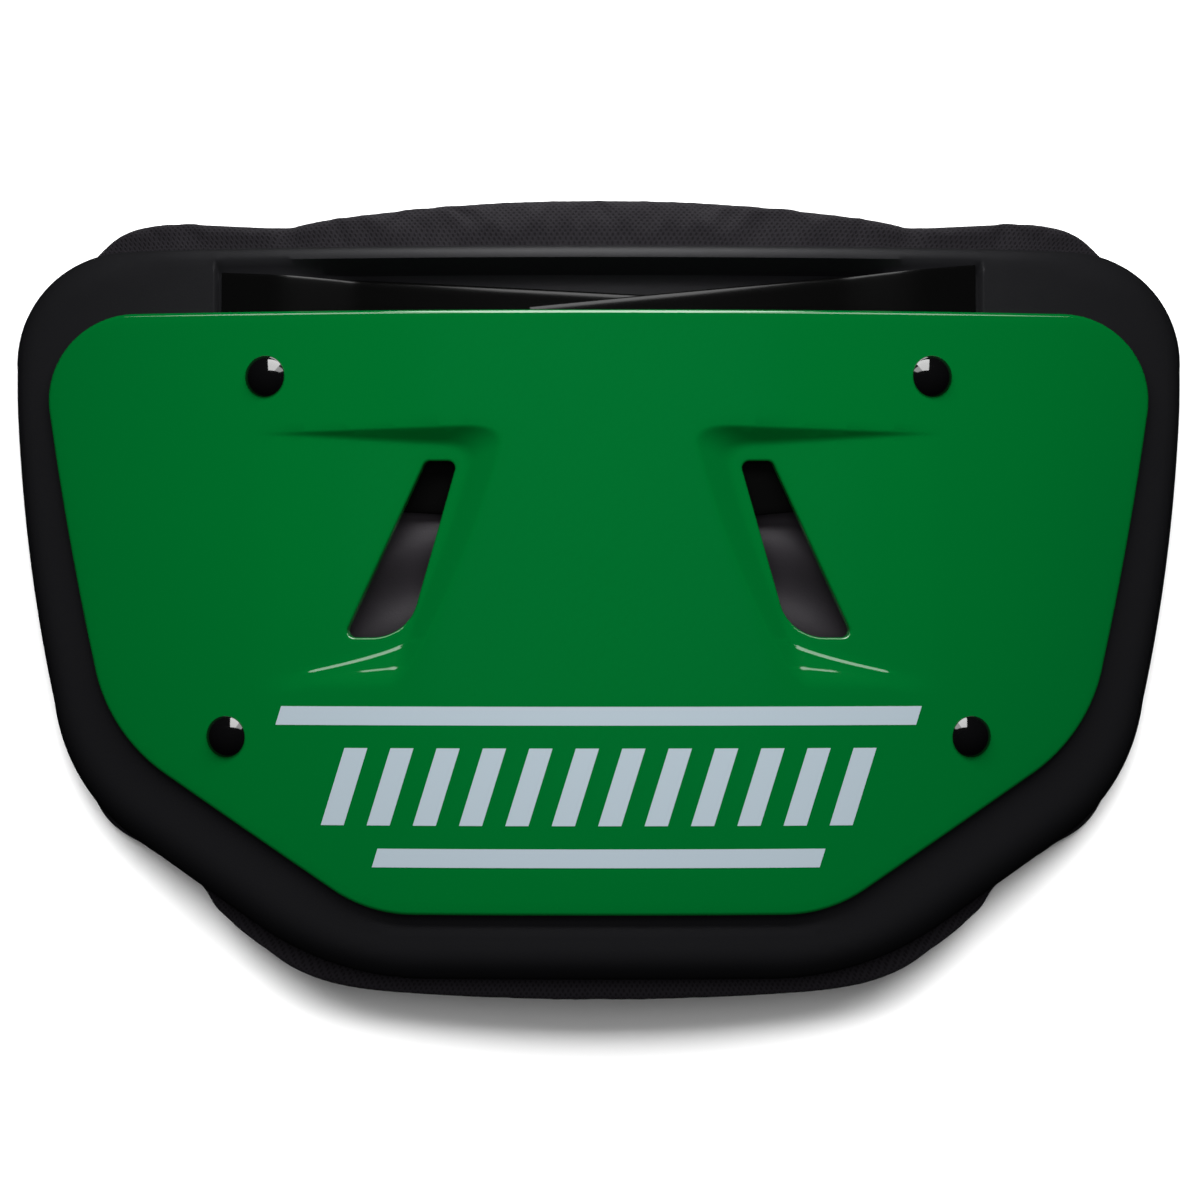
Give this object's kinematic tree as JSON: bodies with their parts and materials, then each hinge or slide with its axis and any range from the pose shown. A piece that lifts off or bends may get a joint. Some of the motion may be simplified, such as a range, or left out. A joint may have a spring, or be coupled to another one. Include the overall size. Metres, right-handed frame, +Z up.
{
  "type": "football back plate",
  "caption": "Curved back plate: glossy hard shell with slanted vents, riveted over tucked straps to a moulded foam tray with a padded back.",
  "frame": {"origin": "middle of the footprint, on the surface that the plate lies on with its shell upwards", "axes": "+X across the plate towards its right-hand side as seen from the shell, +Y towards its top edge, +Z up"},
  "size_m": [0.3362, 0.227, 0.0705],
  "materials": {
    "gloss_green_plastic": "glossy pressed sheet",
    "black_moulded_foam": "satin moulded foam",
    "black_mesh_fabric": "knitted mesh over foam",
    "black_coated_strap": "smooth coated webbing",
    "black_gloss_rivet": "glossy dome"
  },
  "bodies": {
    "root": {"shell": "gloss_green_plastic", "tray": "black_moulded_foam", "pad": "black_mesh_fabric", "strap_left": "black_coated_strap", "strap_right": "black_coated_strap", "rivet_upper_left": "black_gloss_rivet", "rivet_upper_right": "black_gloss_rivet", "rivet_lower_left": "black_gloss_rivet", "rivet_lower_right": "black_gloss_rivet"}
  },
  "joints": []
}
